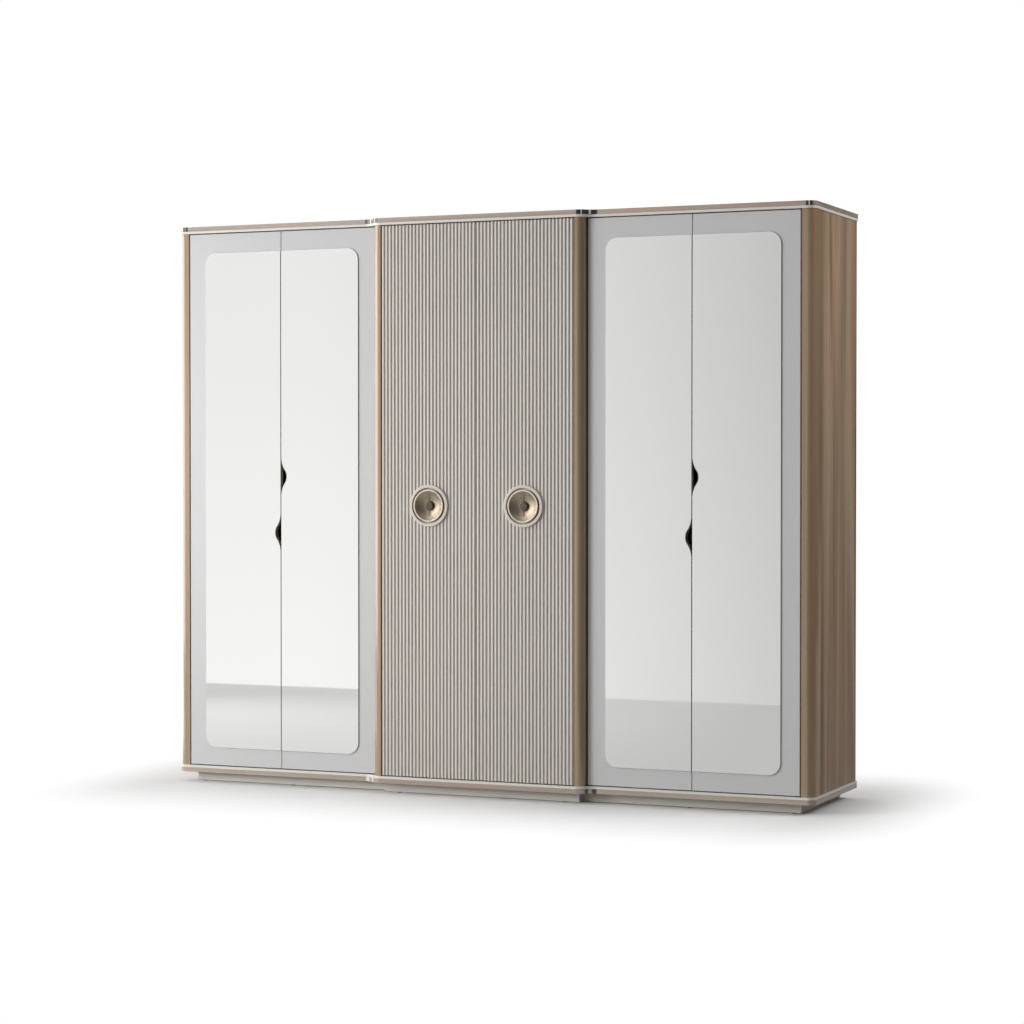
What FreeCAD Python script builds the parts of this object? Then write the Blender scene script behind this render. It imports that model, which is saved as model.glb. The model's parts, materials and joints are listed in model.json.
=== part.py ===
import FreeCAD, Part
import math
import os
import re

import Sketcher

# Six-door armoire: a stepped centre unit with two reeded doors between two side units with mirrored doors.
# Frame: +Z up, +X to the right of a person facing the doors, doors towards -Y, origin on the floor under
# the middle of the whole cabinet. Lengths are millimetres.

doc = FreeCAD.newDocument("Armoire")

driving = {
    # carcass
    "width": 2700,
    "height": 2270,
    "sideDepth": 570,
    "centreStep": 34,
    "boardThick": 18,
    "bandThick": 10,
    "overhang": 5,
    "cornerRound": 33,
    "stepInner": 415,
    "stepOuter": 493,
    "outerPost": 48,
    "centrePost": 37,
    "postDepth": 60,
    "postRound": 28,
    "centreHalf": 412,
    "backThick": 8,
    "backInset": 4,
    # plinth
    "glideHeight": 3,
    "glideRadius": 9,
    "glideFrontInset": 30,
    "glideRearInset": 40,
    "glideMiddleInset": 50,
    "glideNoseInset": 60,
    "plinthTop": 40,
    "plinthFront": 45,
    "plinthSide": 60,
    "plinthStep": 415,
    # doors
    "reveal": 4,
    "seam": 3,
    "leafThick": 20,
    "edgeRound": 3,
    "mirrorThick": 4,
    "mirrorSide": 74,
    "mirrorTop": 77,
    "mirrorBottom": 72,
    "mirrorRound": 48,
    # reeded centre leaves
    "coreThick": 18,
    "ribHeight": 4,
    "ribWidth": 9.5,
    "ribCount": 27,
    # bell-shaped finger pulls
    "pullHalf": 76.5,
    "pullDepth": 25.5,
    "pullRound": 44,
    "pullOffset": 113,
    "linerThick": 2,
    "linerTrim": 1,
    # round handles
    "handleHeight": 1138,
    "handleX": 200.8,
    "handleProud": 9,
    "ringOuter": 82,
    "ringInner": 70,
    "ringProud": 7,
    "rimOuter": 63.5,
    "rimInner": 57,
    "bowlDepth": 15,
    "bowlWall": 2,
    "knobRadius": 18,
    "knobDrop": 7,
    "knobBevel": 4,
    "knobChamfer": 3,
    "knobThick": 6,
    "ringChamfer": 3,
    "ringEase": 2,
    "rimLip": 2,
    "rimEase": 1,
    "bowlShoulder": 0.75,
    "bowlRise": 0.3,
    # fittings
    "cupRadius": 17.5,
    "cupDepth": 12,
    "cupSetback": 22.5,
    "cupPlate": 1,
    "hingeGap": 2,
    "hingeEnd": 100,
    "shelfFront": 62,
    "hatShelf": 1890,
    "lowShelf": 420,
    "centreShelfLow": 500,
    "centreShelfPitch": 460,
    "pinRadius": 2.5,
    "pinBury": 8,
    "pinOut": 10,
    "pinFront": 60,
    "pinRear": 80,
    "railRadius": 12.5,
    "railDrop": 60,
    "railBack": 300,
    "socketRadius": 18,
    "socketLength": 12,
    "socketFloor": 2,
    "boltRadius": 4,
    "boltHead": 7,
    "boltFlange": 2,
    "boltLow": 160,
    "boltHigh": 190,
    "boltFront": 150,
    "boltRear": 120,
    "cupPlateWidth": 24,
    "cupPlateHeight": 56,
    "armLead": 1,
    "armLap": 6,
    "armWidth": 14,
    "armThick": 12,
    "armDepth": 32,
    "armNose": 6,
    "mountSetback": 4,
    "mountThick": 3,
    "mountDepth": 28,
    "mountHeight": 50,
    # over-run of the cutting shapes
    "overrun": 1,
}

sheet = doc.addObject("Spreadsheet::Sheet", "Sizes")
for row, (alias, value) in enumerate(driving.items(), start=1):
    sheet.set(f"A{row}", alias)
    sheet.set(f"B{row}", str(value))
    sheet.setAlias(f"B{row}", alias)
doc.recompute()

# Derived places, as formulas of the driving dimensions.
backY = "(sideDepth + centreStep + handleProud) / 2"
frontY = f"({backY} - sideDepth)"
centreY = f"({frontY} - centreStep)"
centreOuter = "(centreHalf + centrePost)"
innerFace = f"({centreOuter} + boardThick)"
outerFace = "(width / 2 - boardThick)"
postFace = "(width / 2 - outerPost)"
floorZ = "(plinthTop + boardThick + bandThick)"
ceilingZ = "(height - boardThick - bandThick)"
roomHeight = f"({ceilingZ} - {floorZ})"
leafLow = f"({floorZ} + reveal)"
leafHeight = f"({roomHeight} - 2 * reveal)"
sideLeafWidth = f"(({postFace} - {centreOuter} - 2 * reveal - seam) / 2)"
centreLeafWidth = "(centreHalf - reveal - seam / 2)"
pullFlare = "((pullHalf ^ 2 + pullDepth ^ 2) / (2 * pullDepth) - pullRound)"
hingeCount = 4
hingePitch = f"(({leafHeight} - 2 * hingeEnd) / {hingeCount - 1})"
centreCore = f"({centreY} + ribHeight)"

sides = {"left": -1, "right": 1}


def linked(formula):
    # Each alias in a formula is read from the sheet.
    def swapped(word):
        return f"Sizes.{word[0]}" if word[0] in driving else word[0]

    return re.sub(r"[A-Za-z]\w*", swapped, formula)


def valueOf(formula):
    return float(sheet.evalExpression(linked(formula)))


def bind(piece, formulas):
    for target, formula in formulas.items():
        piece.setExpression(target, linked(formula))


def place(piece, low):
    bind(piece, {f"Placement.Base.{axis}": formula for axis, formula in zip("xyz", low)})


def sided(side, inner, span):
    # The lower x of a piece that starts at inner on the right, mirrored for the left.
    return f"({inner})" if side > 0 else f"(-({inner}) - ({span}))"


def box(name, low, size):
    piece = doc.addObject("Part::Box", name)
    piece.Label = name
    bind(piece, dict(zip(("Length", "Width", "Height"), size)))
    place(piece, low)
    return piece


def cylinder(name, start, radius, length, direction):
    piece = doc.addObject("Part::Cylinder", name)
    piece.Label = name
    turns = {"+x": ((0, 1, 0), 90), "+y": ((1, 0, 0), -90), "-y": ((1, 0, 0), 90), "+z": ((0, 0, 1), 0)}
    axis, angle = turns[direction]
    piece.Placement = FreeCAD.Placement(FreeCAD.Vector(), FreeCAD.Rotation(FreeCAD.Vector(*axis), angle))
    bind(piece, {"Radius": radius, "Height": length})
    place(piece, start)
    return piece


def joined(name, pieces):
    group = doc.addObject("Part::MultiFuse", name)
    group.Label = name
    group.Shapes = pieces
    return group


def cut(name, base, tool):
    piece = doc.addObject("Part::Cut", name)
    piece.Label = name
    piece.Base = base
    piece.Tool = tool
    return piece


def common(name, first, second):
    piece = doc.addObject("Part::Common", name)
    piece.Label = name
    piece.Base = first
    piece.Tool = second
    return piece


def originPlane(body, role):
    return next(item for item in body.Origin.OriginFeatures if item.Role == role)


def newBody(name):
    body = doc.addObject("PartDesign::Body", name)
    body.Label = name
    return body


def newSketch(body, name, role):
    sketch = body.newObject("Sketcher::SketchObject", name)
    sketch.AttachmentSupport = [(originPlane(body, role), "")]
    sketch.MapMode = "FlatFace"
    return sketch


def constrain(sketch, name, formula, *reference):
    # A named dimension of the sketch, bound to the sheet.
    kind, *places = reference
    index = sketch.addConstraint(Sketcher.Constraint(kind, *places, valueOf(formula)))
    sketch.renameConstraint(index, name)
    bind(sketch, {f"Constraints.{name}": formula})


def rectangle(sketch, length, depth):
    # A rectangle from the origin towards +x and +y.
    far = FreeCAD.Vector(valueOf(length), valueOf(depth), 0)
    corners = [FreeCAD.Vector(), FreeCAD.Vector(far.x, 0, 0), far, FreeCAD.Vector(0, far.y, 0)]
    for start, end in zip(corners, corners[1:] + corners[:1]):
        sketch.addGeometry(Part.LineSegment(start, end), False)
    for line in range(4):
        sketch.addConstraint(Sketcher.Constraint("Coincident", line, 2, (line + 1) % 4, 1))
        sketch.addConstraint(Sketcher.Constraint("Vertical" if line % 2 else "Horizontal", line))
    sketch.addConstraint(Sketcher.Constraint("Coincident", 0, 1, -1, 1))
    constrain(sketch, "length", length, "DistanceX", 0, 1, 0, 2)
    constrain(sketch, "depth", depth, "DistanceY", 1, 1, 1, 2)


def pad(body, name, sketch, length):
    feature = body.newObject("PartDesign::Pad", name)
    feature.Profile = sketch
    bind(feature, {"Length": length})
    sketch.Visibility = False
    return feature


def cornerEdges(shape, axis, ends):
    # Names of the edges along one axis that lie at the low (0) or high (1) end of the other two axes.
    extent = shape.BoundBox
    lows = dict(x=extent.XMin, y=extent.YMin, z=extent.ZMin)
    highs = dict(x=extent.XMax, y=extent.YMax, z=extent.ZMax)
    wanted = {other: (lows, highs)[end][other] for other, end in ends.items()}
    names = []
    for number, edge in enumerate(shape.Edges, start=1):
        span = {other: abs(getattr(edge.BoundBox, f"{other.upper()}Length")) for other in "xyz"}
        centre = edge.CenterOfMass
        along = span[axis] > 1 and all(span[other] < 1e-4 for other in wanted)
        if along and all(abs(getattr(centre, other) - place) < 1e-4 for other, place in wanted.items()):
            names.append(f"Edge{number}")
    return names


def roundedBlock(name, low, size, rounds):
    # A board with some of its edges rounded; rounds holds (axis, ends, radius) for each edge.
    body = newBody(name)
    sketch = newSketch(body, f"{name}_plan", "XY_Plane")
    rectangle(sketch, size[0], size[1])
    feature = pad(body, f"{name}_pad", sketch, size[2])
    doc.recompute()
    radii = {}
    for axis, ends, radius in rounds:
        radii.setdefault(radius, []).append((axis, ends))
    for number, (radius, edges) in enumerate(radii.items()):
        names = [edge for axis, ends in edges for edge in cornerEdges(feature.Shape, axis, ends)]
        rounded = body.newObject("PartDesign::Fillet", f"{name}_round{number}")
        rounded.Base = (feature, names)
        bind(rounded, {"Radius": radius})
        doc.recompute()
        feature = rounded
    body.Tip = feature
    place(body, low)
    return body


def steppedPlate(name, low, thickness):
    # Top or bottom board: rounded front corners, and a front that swells forward over the centre unit.
    body = newBody(name)
    sketch = newSketch(body, f"{name}_plan", "XY_Plane")
    side = valueOf("width / 2 + overhang")
    back = valueOf(backY)
    front = valueOf(f"{frontY} - overhang")
    nose = valueOf(f"{centreY} - overhang")
    inner = valueOf("stepInner")
    outer = valueOf("stepOuter")
    corner = valueOf("cornerRound")
    step = front - nose
    swell = ((outer - inner) ** 2 + step ** 2) / (4 * step)
    turn = math.asin((outer - inner) / 2 / swell)
    up = FreeCAD.Vector(0, 0, 1)

    def line(x0, y0, x1, y1):
        ends = FreeCAD.Vector(x0, y0, 0), FreeCAD.Vector(x1, y1, 0)
        return sketch.addGeometry(Part.LineSegment(*ends), False)

    def arc(x, y, radius, start, end):
        circle = Part.Circle(FreeCAD.Vector(x, y, 0), up, radius)
        return sketch.addGeometry(Part.ArcOfCircle(circle, start, end), False)

    backLine = line(0, back, side, back)
    sideLine = line(side, back, side, front + corner)
    cornerArc = arc(side - corner, front + corner, corner, 1.5 * math.pi, 2 * math.pi)
    frontLine = line(side - corner, front, outer, front)
    hollowArc = arc(outer, front - swell, swell, math.pi / 2, math.pi / 2 + turn)
    swellArc = arc(inner, nose + swell, swell, 1.5 * math.pi, 1.5 * math.pi + turn)
    noseLine = line(inner, nose, 0, nose)
    middleLine = line(0, nose, 0, back)
    for first, end, second, start in (
        (sideLine, 2, cornerArc, 2),
        (cornerArc, 1, frontLine, 1),
        (frontLine, 2, hollowArc, 1),
        (hollowArc, 2, swellArc, 2),
        (swellArc, 1, noseLine, 1),
    ):
        sketch.addConstraint(Sketcher.Constraint("Tangent", first, end, second, start))
    for first, second in ((noseLine, middleLine), (middleLine, backLine), (backLine, sideLine)):
        sketch.addConstraint(Sketcher.Constraint("Coincident", first, 2, second, 1))
    for flat in (backLine, frontLine, noseLine):
        sketch.addConstraint(Sketcher.Constraint("Horizontal", flat))
    for upright in (sideLine, middleLine):
        sketch.addConstraint(Sketcher.Constraint("Vertical", upright))
    sketch.addConstraint(Sketcher.Constraint("PointOnObject", middleLine, 1, -2))
    sketch.addConstraint(Sketcher.Constraint("Equal", hollowArc, swellArc))
    constrain(sketch, "halfWidth", "width / 2 + overhang", "DistanceX", -1, 1, sideLine, 1)
    constrain(sketch, "back", backY, "DistanceY", -1, 1, backLine, 2)
    constrain(sketch, "front", f"{backY} - ({frontY} - overhang)", "DistanceY", frontLine, 2, backLine, 2)
    constrain(sketch, "nose", f"{backY} - ({centreY} - overhang)", "DistanceY", noseLine, 2, backLine, 2)
    constrain(sketch, "corner", "cornerRound", "Radius", cornerArc)
    constrain(sketch, "inner", "stepInner", "DistanceX", -1, 1, noseLine, 1)
    constrain(sketch, "outer", "stepOuter", "DistanceX", -1, 1, frontLine, 2)
    half = pad(body, f"{name}_half", sketch, thickness)
    doc.recompute()
    whole = body.newObject("PartDesign::Mirrored", f"{name}_whole")
    whole.Originals = [half]
    whole.MirrorPlane = (originPlane(body, "YZ_Plane"), [""])
    body.Tip = whole
    place(body, ("0", "0", low))
    return body


# Base, cornice and plinth.

nodes = [
    steppedPlate("base_board", "plinthTop", "boardThick"),
    steppedPlate("base_trim", "plinthTop + boardThick", "bandThick"),
    steppedPlate("cornice_trim", ceilingZ, "bandThick"),
    steppedPlate("cornice_board", "height - boardThick", "boardThick"),
]

plinthHeight = "(plinthTop - glideHeight)"
plinthEnd = "(width / 2 - plinthSide)"


def plinth():
    front = f"({frontY} + plinthFront)"
    nose = f"({centreY} + plinthFront)"
    boards = [box("plinth_nose", ("-plinthStep", nose, "glideHeight"),
                  ("2 * plinthStep", "boardThick", plinthHeight))]
    for word, side in sides.items():
        boards.append(box(f"plinth_return_{word}",
                          (sided(side, "plinthStep - boardThick", "boardThick"), nose, "glideHeight"),
                          ("boardThick", "centreStep + boardThick", plinthHeight)))
        run = f"{plinthEnd} - plinthStep + boardThick"
        boards.append(box(f"plinth_run_{word}",
                          (sided(side, "plinthStep - boardThick", run), front, "glideHeight"),
                          (run, "boardThick", plinthHeight)))
    nodes.append(joined("plinth_front", boards))
    for word, side in sides.items():
        x = sided(side, f"{plinthEnd} - boardThick", "boardThick")
        low = (x, f"{front} + boardThick", "glideHeight")
        run = f"{backY} - {front} - boardThick"
        nodes.append(box(f"plinth_end_{word}", low, ("boardThick", run, plinthHeight)))
    half = f"({plinthEnd} - boardThick)"
    nodes.append(box("plinth_back", (f"-{half}", f"{backY} - boardThick", "glideHeight"),
                     (f"2 * {half}", "boardThick", plinthHeight)))


def glides():
    frontLine = f"{frontY} + plinthFront + boardThick / 2"
    noseLine = f"{centreY} + plinthFront + boardThick / 2"
    rearLine = f"{backY} - boardThick / 2"
    thirds = "width / 3 - glideMiddleInset"
    nosePlace = "plinthStep - glideNoseInset"
    feet = []
    for word, side in sides.items():
        for number, (x, y) in enumerate((
            (f"{plinthEnd} - glideFrontInset", frontLine), (thirds, frontLine), (nosePlace, noseLine),
            (f"{plinthEnd} - glideRearInset", rearLine), (thirds, rearLine), (nosePlace, rearLine),
        )):
            start = (f"{side} * ({x})", y, "0")
            feet.append(cylinder(f"glide_{word}_{number}", start, "glideRadius", "glideHeight", "+z"))
    nodes.append(joined("glides", feet))


plinth()
glides()


# Uprights and backs.

def uprights():
    for word, side in sides.items():
        outward = 1 if side > 0 else 0
        nodes.append(roundedBlock(
            f"corner_post_{word}", (sided(side, postFace, "outerPost"), frontY, floorZ),
            ("outerPost", "postDepth", roomHeight), [("z", {"x": outward, "y": 0}, "postRound")]))
        nodes.append(roundedBlock(
            f"centre_post_{word}", (sided(side, "centreHalf", "centrePost"), centreY, floorZ),
            ("centrePost", "postDepth", roomHeight), [("z", {"x": outward, "y": 0}, "postRound")]))
        for name, face, start in (
            (f"side_panel_{word}", outerFace, f"{frontY} + postDepth"),
            (f"centre_side_{word}", f"{centreOuter} - boardThick", f"{centreY} + postDepth"),
            (f"inner_side_{word}", centreOuter, f"{frontY} + leafThick + hingeGap"),
        ):
            nodes.append(box(name, (sided(side, face, "boardThick"), start, floorZ),
                             ("boardThick", f"{backY} - ({start})", roomHeight)))


def backPanels():
    y = f"{backY} - backInset - backThick"
    centreWidth = f"(2 * ({centreOuter} - boardThick))"
    sideWidth = f"({outerFace} - {innerFace})"
    panels = [box("back_centre", (f"-{centreWidth} / 2", y, floorZ), (centreWidth, "backThick", roomHeight))]
    for word, side in sides.items():
        panels.append(box(f"back_{word}", (sided(side, innerFace, sideWidth), y, floorZ),
                          (sideWidth, "backThick", roomHeight)))
    nodes.append(joined("back_panels", panels))


uprights()
backPanels()


# Shelves, rails and small fittings inside.

centreShelves = {"hat_shelf_centre": "hatShelf"}
for level in range(3):
    centreShelves[f"centre_shelf_{level + 1}"] = f"centreShelfLow + {level} * centreShelfPitch"
shelfBack = f"({backY} - backInset - backThick)"


def shelf(name, x, y, z, width):
    nodes.append(box(name, (x, y, z), (width, f"{shelfBack} - ({y})", "boardThick")))


def shelves():
    centreFace = f"({centreOuter} - boardThick)"
    centreFront = f"{centreY} + shelfFront"
    sideFront = f"{frontY} + shelfFront"
    pins = []

    def pinRow(name, face, side, front, z):
        # Two pins in one upright, under a shelf; side says which way the upright lies from the shelf.
        inward = f"({face}) - {side} * pinOut"
        outward = f"({face}) + {side} * pinBury"
        for number, y in enumerate((f"{front} + pinFront", f"{backY} - pinRear")):
            start = (inward if side > 0 else outward, y, f"({z}) - pinRadius")
            pins.append(cylinder(f"{name}_{number}", start, "pinRadius", "pinBury + pinOut", "+x"))

    for name, z in centreShelves.items():
        shelf(name, f"-{centreFace}", centreFront, z, f"2 * {centreFace}")
        for word, side in sides.items():
            pinRow(f"pin_{name}_{word}", f"{side} * {centreFace}", side, centreFront, z)
    width = f"({outerFace} - {innerFace})"
    for word, side in sides.items():
        for name, z in ((f"hat_shelf_{word}", "hatShelf"), (f"low_shelf_{word}", "lowShelf")):
            shelf(name, sided(side, innerFace, width), sideFront, z, width)
            pinRow(f"pin_{name}_outer", f"{side} * {outerFace}", side, sideFront, z)
            pinRow(f"pin_{name}_inner", f"{side} * {innerFace}", -side, sideFront, z)
    nodes.append(joined("shelf_pins", pins))


def rails():
    # A hanging rail under each side unit's hat shelf, with its ends in flanged sockets.
    y = f"({backY} - railBack)"
    z = "(hatShelf - railDrop)"
    run = f"({outerFace} - {innerFace})"
    sockets = []
    for word, side in sides.items():
        start = sided(side, innerFace, run)
        nodes.append(cylinder(f"hanging_rail_{word}", (f"{start} + socketFloor", y, z), "railRadius",
                              f"{run} - 2 * socketFloor", "+x"))
        for number, (rim, bore) in enumerate((
            (start, f"{start} + socketFloor"),
            (f"{start} + {run} - socketLength", f"{start} + {run} - socketLength"),
        )):
            name = f"socket_{word}_{number}"
            cup = cylinder(f"{name}_cup", (rim, y, z), "socketRadius", "socketLength", "+x")
            hole = cylinder(f"{name}_bore", (bore, y, z), "railRadius", "socketLength - socketFloor", "+x")
            sockets.append(cut(name, cup, hole))
    nodes.append(joined("rail_sockets", sockets))


def unitBolts():
    # Sleeve bolts that clamp each side unit to the centre unit.
    headFace = f"{centreOuter} - boardThick - boltFlange"
    grip = "2 * (boardThick + boltFlange)"
    bolts = []
    for word, side in sides.items():
        for level, z in enumerate(("lowShelf + boltLow", "hatShelf - boltHigh")):
            for row, y in enumerate((f"{frontY} + boltFront", f"{backY} - boltRear")):
                name = f"bolt_{word}_{level}{row}"
                shank = sided(side, headFace, grip)
                inner = sided(side, headFace, "boltFlange")
                outer = sided(side, innerFace, "boltFlange")
                bolts.append(joined(name, [
                    cylinder(f"{name}_shank", (shank, y, z), "boltRadius", grip, "+x"),
                    cylinder(f"{name}_head", (inner, y, z), "boltHead", "boltFlange", "+x"),
                    cylinder(f"{name}_nut", (outer, y, z), "boltHead", "boltFlange", "+x"),
                ]))
    nodes.append(joined("unit_bolts", bolts))


shelves()
rails()
unitBolts()


# Doors.

class Door:
    # A leaf between its hinge edge and its meeting edge; hinge is -1 where it hangs on its left edge.
    def __init__(self, name, low, width, front, thickness, hinge, mountOffset):
        self.name = name
        self.low = low
        self.width = width
        self.front = front
        self.thickness = thickness
        self.hinge = hinge
        self.mountOffset = mountOffset
        self.back = f"({front} + {thickness})"
        self.hingeEdge = f"({low} + {width})" if hinge > 0 else low
        self.meetingEdge = low if hinge > 0 else f"({low} + {width})"

    def cupX(self):
        return f"({self.hingeEdge} - {self.hinge} * cupSetback)"

    def hingeLevels(self):
        return [f"{leafLow} + hingeEnd + {level} * {hingePitch}" for level in range(hingeCount)]


def hingeCups(door):
    # Cups pressed into the back of the leaf, each with a thin screw plate on the surface.
    cups = []
    bores = []
    for level, z in enumerate(door.hingeLevels()):
        name = f"cup_{door.name}_{level}"
        start = (door.cupX(), door.back, z)
        drum = cylinder(f"{name}_drum", start, "cupRadius", "cupDepth", "-y")
        low = (f"{door.cupX()} - cupPlateWidth / 2", door.back, f"{z} - cupPlateHeight / 2")
        plate = box(f"{name}_plate", low, ("cupPlateWidth", "cupPlate", "cupPlateHeight"))
        cups.append(joined(name, [drum, plate]))
        bores.append(cylinder(f"{name}_bore", start, "cupRadius", "cupDepth", "-y"))
    nodes.append(joined(f"cups_{door.name}", cups))
    return bores


def hingeArms(doors):
    # Mounting plate, cranked arm and nose of each concealed hinge, on the upright beside the leaf.
    arms = []
    for door in doors:
        reach = f"({door.mountOffset} + cupSetback + armLap)"
        face = f"({door.hingeEdge} + {door.hinge} * ({door.mountOffset}))"
        y = f"({door.back} + cupPlate + hingeGap - armLead)"
        for level, z in enumerate(door.hingeLevels()):
            name = f"arm_{door.name}_{level}"
            pieces = []
            for word, start, thick, depth, width in (
                ("plate", f"{y} + mountSetback", "mountThick", "mountDepth", "mountHeight"),
                ("body", y, "armThick", "armDepth", "armWidth"),
                ("nose", y, reach, "armNose", "armWidth"),
            ):
                x = face if door.hinge < 0 else f"{face} - {thick}"
                pieces.append(box(f"{name}_{word}", (x, start, f"{z} - {width} / 2"), (thick, depth, width)))
            arms.append(joined(name, pieces))
    nodes.append(joined("hinge_arms", arms))


def bell(name, door, centreZ, shrink):
    # The finger pull's bell outline as a solid through the leaf: one round bay between two flared shoulders.
    inward = door.hinge
    start = f"({door.front} - mirrorThick - overrun)"
    run = f"(mirrorThick + {door.thickness} + 2 * overrun)"
    fraction = f"(({pullFlare} + {shrink}) / ({pullFlare} + pullRound))"
    shoulder = f"({pullFlare} - ({pullFlare} + pullRound - pullDepth) * {fraction})"
    bayX = f"{door.meetingEdge} + {inward} * (pullDepth - pullRound)"
    flareX = f"{door.meetingEdge} + {inward} * {pullFlare}"
    bay = cylinder(f"{name}_bay", (bayX, start, centreZ), f"pullRound - {shrink}", run, "+y")
    x = door.meetingEdge if inward > 0 else f"{door.meetingEdge} - {shoulder}"
    slab = box(f"{name}_slab", (x, start, f"{centreZ} - pullHalf"), (shoulder, run, "2 * pullHalf"))
    flares = [cylinder(f"{name}_flare{end}", (flareX, start, f"{centreZ} + {end} * pullHalf"),
                       f"{pullFlare} + {shrink}", run, "+y") for end in (-1, 1)]
    return joined(name, [bay, cut(f"{name}_shoulders", slab, joined(f"{name}_flares", flares))])


def mirroredDoor(door, pullSide):
    centreZ = f"(handleHeight + {pullSide} * pullOffset)"
    opening = bell(f"pull_cut_{door.name}", door, centreZ, "0")
    high = 1 if door.hinge > 0 else 0
    blank = roundedBlock(f"blank_{door.name}", (door.low, door.front, leafLow),
                         (door.width, door.thickness, leafHeight), [("z", {"x": high, "y": 0}, "edgeRound")])
    nodes.append(cut(f"leaf_{door.name}", blank, joined(f"cuts_{door.name}", [opening] + hingeCups(door))))
    glassWidth = f"({door.width} - mirrorSide)"
    x = door.low if door.hinge > 0 else f"{door.low} + mirrorSide"
    corner = (x, f"{door.front} - mirrorThick", f"{leafLow} + mirrorBottom")
    rounds = [("y", {"x": high, "z": end}, "mirrorRound") for end in (0, 1)]
    glass = roundedBlock(f"glass_{door.name}", corner,
                         (glassWidth, "mirrorThick", f"({leafHeight} - mirrorBottom - mirrorTop)"), rounds)
    nodes.append(cut(f"mirror_{door.name}", glass, opening))
    trimmed = f"{door.meetingEdge} + {door.hinge} * linerTrim"
    x = trimmed if door.hinge > 0 else f"{trimmed} - pullDepth"
    window = box(f"window_{door.name}", (x, f"{door.front} - mirrorThick", f"{centreZ} - pullHalf"),
                 ("pullDepth", f"mirrorThick + {door.thickness}", "2 * pullHalf"))
    hollow = bell(f"pull_hollow_{door.name}", door, centreZ, "linerThick")
    nodes.append(cut(f"pull_{door.name}", common(f"pull_block_{door.name}", window, opening), hollow))


def reededLeaf(door):
    # A core board with full-height ribs of a rounded profile, all in one piece.
    name = f"reeded_{door.name}"
    body = newBody(name)
    plan = newSketch(body, f"{name}_plan", "XY_Plane")
    rectangle(plan, door.width, "coreThick")
    pad(body, f"{name}_core", plan, leafHeight)
    profile = newSketch(body, f"{name}_profile", "XY_Plane")
    pitch = f"({door.width} / ribCount)"
    left = valueOf(f"({pitch} - ribWidth) / 2")
    width = valueOf("ribWidth")
    height = valueOf("ribHeight")
    radius = (width ** 2 / 4 + height ** 2) / (2 * height)
    half = math.asin(width / 2 / radius)
    middle = FreeCAD.Vector(left + width / 2, radius - height, 0)
    circle = Part.Circle(middle, FreeCAD.Vector(0, 0, 1), radius)
    profile.addGeometry(Part.ArcOfCircle(circle, 1.5 * math.pi - half, 1.5 * math.pi + half), False)
    ends = [FreeCAD.Vector(left + width, 0, 0), FreeCAD.Vector(left, 0, 0)]
    profile.addGeometry(Part.LineSegment(*ends), False)
    profile.addConstraint(Sketcher.Constraint("Coincident", 0, 2, 1, 1))
    profile.addConstraint(Sketcher.Constraint("Coincident", 1, 2, 0, 1))
    profile.addConstraint(Sketcher.Constraint("PointOnObject", 1, 1, -1))
    profile.addConstraint(Sketcher.Constraint("PointOnObject", 1, 2, -1))
    constrain(profile, "offset", f"({pitch} - ribWidth) / 2", "DistanceX", -1, 1, 1, 2)
    constrain(profile, "ribWidth", "ribWidth", "DistanceX", 1, 2, 1, 1)
    constrain(profile, "ribRadius", "(ribWidth ^ 2 / 4 + ribHeight ^ 2) / (2 * ribHeight)", "Radius", 0)
    rib = pad(body, f"{name}_rib", profile, leafHeight)
    doc.recompute()
    ribs = body.newObject("PartDesign::LinearPattern", f"{name}_ribs")
    ribs.Originals = [rib]
    ribs.Direction = (profile, ["H_Axis"])
    bind(ribs, {"Length": f"{pitch} * (ribCount - 1)", "Occurrences": "ribCount"})
    body.Tip = ribs
    place(body, (door.low, centreCore, leafLow))
    return body


def turned(name, profile, x, z):
    # A round piece about an axis along Y; profile lists (radius, y) formulas of a closed outline.
    body = newBody(name)
    sketch = newSketch(body, f"{name}_profile", "XY_Plane")
    points = [FreeCAD.Vector(valueOf(radius), valueOf(y), 0) for radius, y in profile]
    for start, end in zip(points, points[1:] + points[:1]):
        sketch.addGeometry(Part.LineSegment(start, end), False)
    for line, (radius, y) in enumerate(profile):
        sketch.addConstraint(Sketcher.Constraint("Coincident", line, 2, (line + 1) % len(profile), 1))
        constrain(sketch, f"radius{line}", radius, "DistanceX", -1, 1, line, 1)
        constrain(sketch, f"level{line}", y, "DistanceY", -1, 1, line, 1)
    revolution = body.newObject("PartDesign::Revolution", f"{name}_turned")
    revolution.Profile = sketch
    revolution.ReferenceAxis = (sketch, ["V_Axis"])
    revolution.Angle = 360
    body.Tip = revolution
    place(body, (x, "0", z))
    return body


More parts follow.
